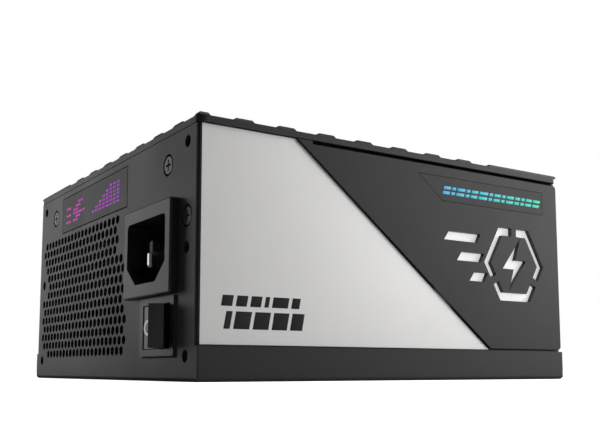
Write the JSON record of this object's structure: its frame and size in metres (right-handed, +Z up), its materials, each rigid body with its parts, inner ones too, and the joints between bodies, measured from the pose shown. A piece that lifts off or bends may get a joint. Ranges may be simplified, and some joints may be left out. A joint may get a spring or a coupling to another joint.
{
  "type": "power supply unit",
  "caption": "Compact square computer power supply with a fan on top, vented mains panel with inlet and rocker switch, decorated side and output sockets.",
  "frame": {"origin": "centre of the underside", "axes": "+Z up with the fan on top, the mains panel faces -Y, the decorated side faces +X"},
  "size_m": [0.125, 0.1324, 0.0635],
  "materials": {
    "dark_steel": "satin powder coat",
    "silver_plate": "satin",
    "dark_plate": "satin",
    "bright_plate": "satin",
    "window": "smoked",
    "light_board": "matte",
    "label": "matte print",
    "screw": "black oxide",
    "black_plastic": "moulded",
    "contact": "tinned",
    "rocker_plastic": "semi gloss",
    "fan_plastic": "semi gloss",
    "brass": "machined",
    "copper": "enamelled wire",
    "circuit_board": "solder mask",
    "insulator": "film",
    "ferrite": "sintered",
    "yellow_plastic": "moulded",
    "ceramic": "glazed",
    "epoxy": "moulded",
    "heatsink": "extruded",
    "can_sleeve": "shrink sleeve",
    "tape": "polyester tape"
  },
  "bodies": {
    "casing": {"board_screws": "screw", "board_standoffs": "brass", "boost_choke": "ferrite", "bottom_tray": "dark_steel", "bridge_rectifier": "epoxy", "bulk_capacitors": "can_sleeve", "cover_screws": "screw", "dark_side_plate": "dark_plate", "drive_sockets": "black_plastic", "earth_screw": "screw", "emblem_backing": "bright_plate", "fan_bearing": "brass", "fan_driver_board": "circuit_board", "fan_frame": "black_plastic", "fan_guard": "dark_steel", "fan_screws": "screw", "fan_stator": "copper", "film_capacitors": "yellow_plastic", "graphics_sockets": "black_plastic", "inlet_blades": "contact", "inlet_housing": "black_plastic", "insulating_sheet": "insulator", "line_choke_cores": "ferrite", "line_choke_windings": "copper", "main_board": "circuit_board", "mainboard_sockets": "black_plastic", "mains_fuse": "ceramic", "output_capacitors": "can_sleeve", "output_choke": "ferrite", "power_transistors": "epoxy", "primary_heatsink": "heatsink", "processor_sockets": "black_plastic", "rating_plate": "label", "rear_light_board": "light_board", "rear_light_window": "window", "resonant_choke": "tape", "secondary_heatsink": "heatsink", "side_light_board": "light_board", "side_light_window": "window", "silver_side_plate": "silver_plate", "socket_board": "circuit_board", "socket_pins": "contact", "standby_transformer": "tape", "switch_housing": "black_plastic", "switch_terminals": "contact", "top_cover": "dark_steel", "top_trim": "dark_steel", "transformer_core": "ferrite", "transformer_winding": "tape"},
    "fan": {"fan_rotor": "fan_plastic", "fan_shaft": "contact"},
    "switch_rocker": {"rocker": "rocker_plastic"}
  },
  "joints": [
    {"name": "fan_spin", "type": "hinge", "parent": "casing", "child": "fan", "pos_m": [0, 0, 0.0527], "axis": [0, 0, 1], "continuous": true},
    {"name": "rocker_tilt", "type": "hinge", "parent": "casing", "child": "switch_rocker", "pos_m": [0.0408, -0.06174, 0.0135], "axis": [0, 0, 1], "range_deg": [0, 38]}
  ]
}
